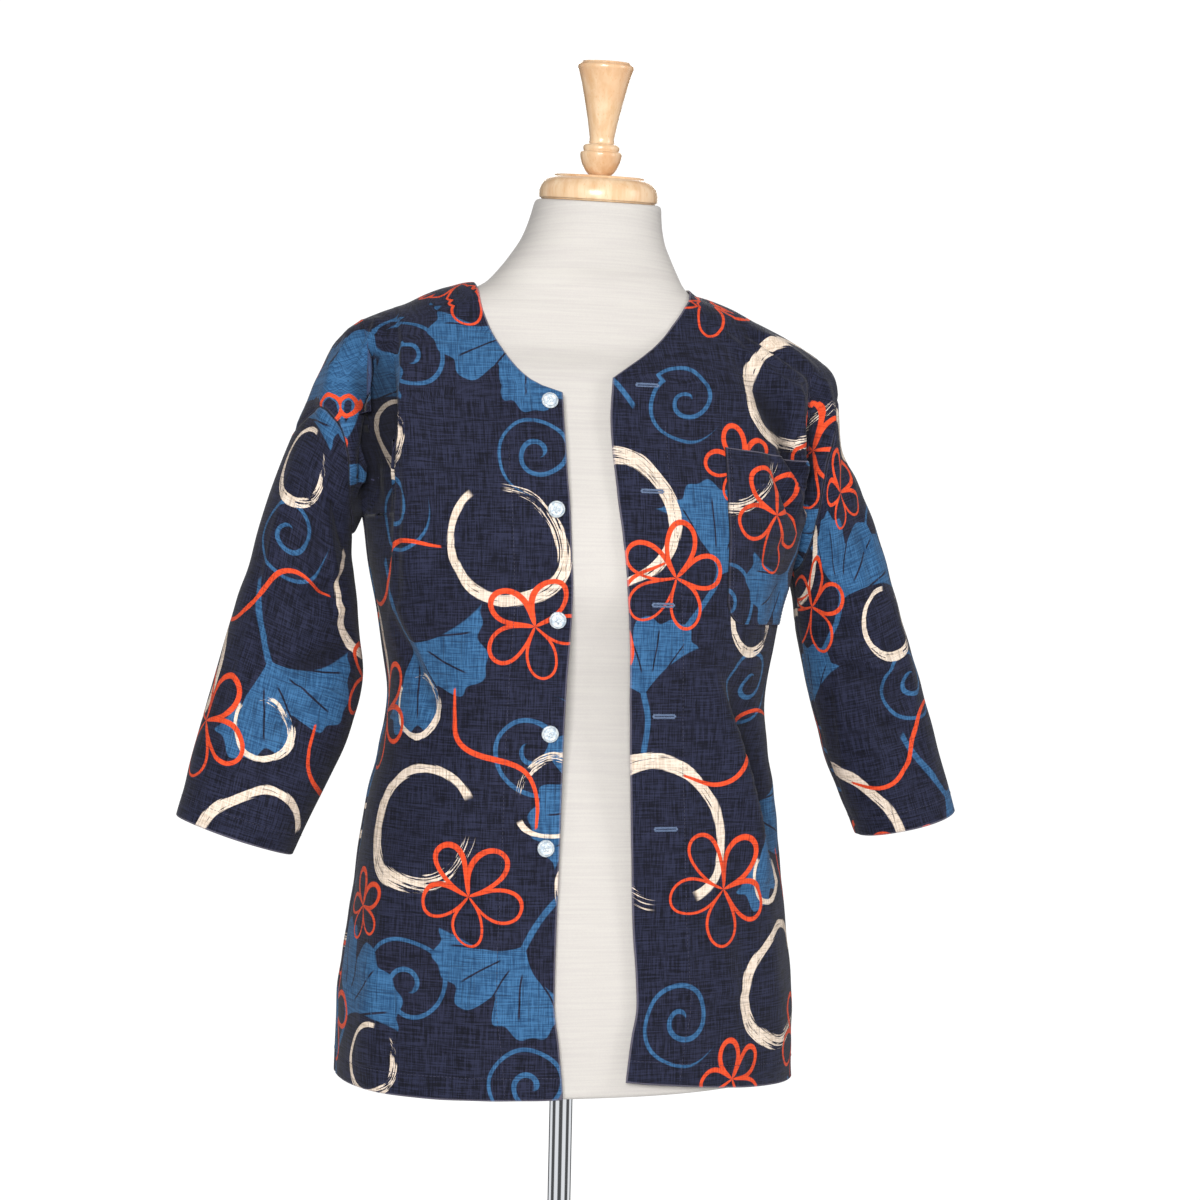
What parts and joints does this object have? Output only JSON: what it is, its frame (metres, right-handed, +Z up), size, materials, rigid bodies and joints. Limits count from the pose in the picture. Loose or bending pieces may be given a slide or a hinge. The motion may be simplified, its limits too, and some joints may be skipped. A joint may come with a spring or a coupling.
{
  "type": "japanese chef jacket on a dress form",
  "caption": "Open collarless cotton jacket with dropped shoulders, three-quarter sleeves, chest pocket and front buttons, worn by a limbless dress form on a pole stand.",
  "frame": {"origin": "on the floor under the pole, at the middle of the base's underside", "axes": "+Z up; the front of the jacket faces -Y; the wearer's left is +X"},
  "size_m": [0.6468, 0.32, 1.4383],
  "materials": {
    "printed_cotton": "matt slub cotton, printed",
    "shell_button": "pearly",
    "form_cloth": "matt jersey",
    "pale_wood": "satin varnish",
    "chrome_steel": "polished"
  },
  "bodies": {
    "root": {"front_right": "printed_cotton", "front_left": "printed_cotton", "back": "printed_cotton", "sleeve_right": "printed_cotton", "sleeve_left": "printed_cotton", "chest_pocket": "printed_cotton", "button_1": "shell_button", "button_2": "shell_button", "button_3": "shell_button", "button_4": "shell_button", "button_5": "shell_button", "form_body": "form_cloth", "neck_cap": "pale_wood", "finial": "pale_wood", "pole": "chrome_steel", "base": "chrome_steel"}
  },
  "joints": []
}
